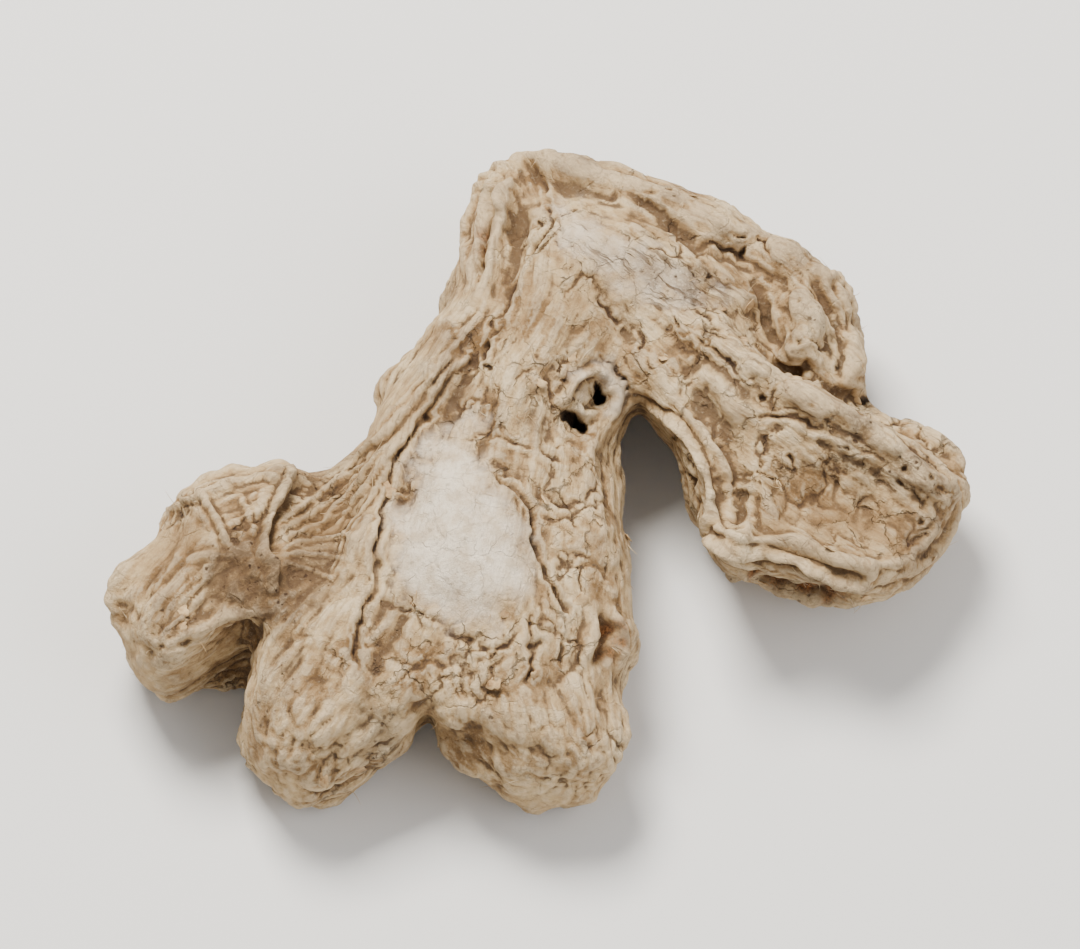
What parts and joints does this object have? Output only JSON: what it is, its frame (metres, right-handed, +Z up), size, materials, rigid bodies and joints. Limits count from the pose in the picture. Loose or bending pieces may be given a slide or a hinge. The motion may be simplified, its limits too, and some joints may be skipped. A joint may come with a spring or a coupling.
{
  "type": "dried ginger root",
  "caption": "Dried ginger rhizome: one flattened, wrinkled hand with a broad leg, a side finger, a shoulder and a curved arm, lying on its broad side",
  "frame": {"origin": "under the middle of the root, on the surface that it lies on", "axes": "+Z up out of the broad side that faces the viewer, +X from the side finger's tip to the arm's tip, +Y from the feet of the leg to the crown"},
  "size_m": [0.0734, 0.0586, 0.0188],
  "materials": {
    "dried_skin": "very matte, papery dried skin, tan with pale scraped patches and dark creases"
  },
  "bodies": {
    "root": {"ginger_root": "dried_skin"}
  },
  "joints": []
}
